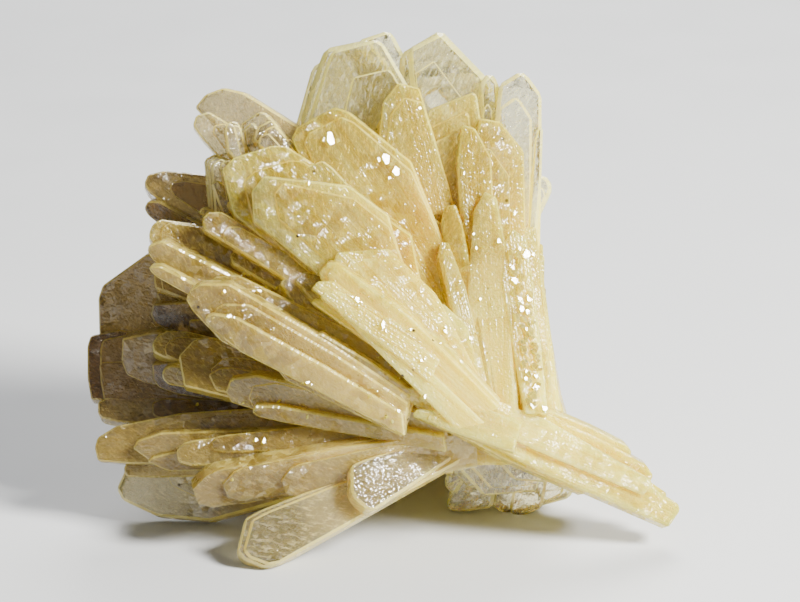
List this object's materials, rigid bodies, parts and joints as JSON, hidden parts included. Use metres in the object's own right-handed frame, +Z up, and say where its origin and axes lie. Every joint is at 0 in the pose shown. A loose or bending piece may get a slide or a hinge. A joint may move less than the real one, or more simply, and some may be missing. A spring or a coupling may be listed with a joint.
{
  "type": "barite crystal cluster",
  "caption": "Fan of flat, bladed translucent crystals grown together in one standing cluster, with clear upright plates and a long crossing blade at the side.",
  "frame": {"origin": "centre of the footprint, on the surface that the cluster stands on", "axes": "+X to the right along the fan's width, +Y to the back, away from the fan's face, +Z up"},
  "size_m": [0.0916, 0.0618, 0.073],
  "materials": {
    "barite": "honey-coloured barite: glassy faces, clear at the plate tips and milky towards the root"
  },
  "bodies": {
    "root": {"barite_cluster": "barite"}
  },
  "joints": []
}
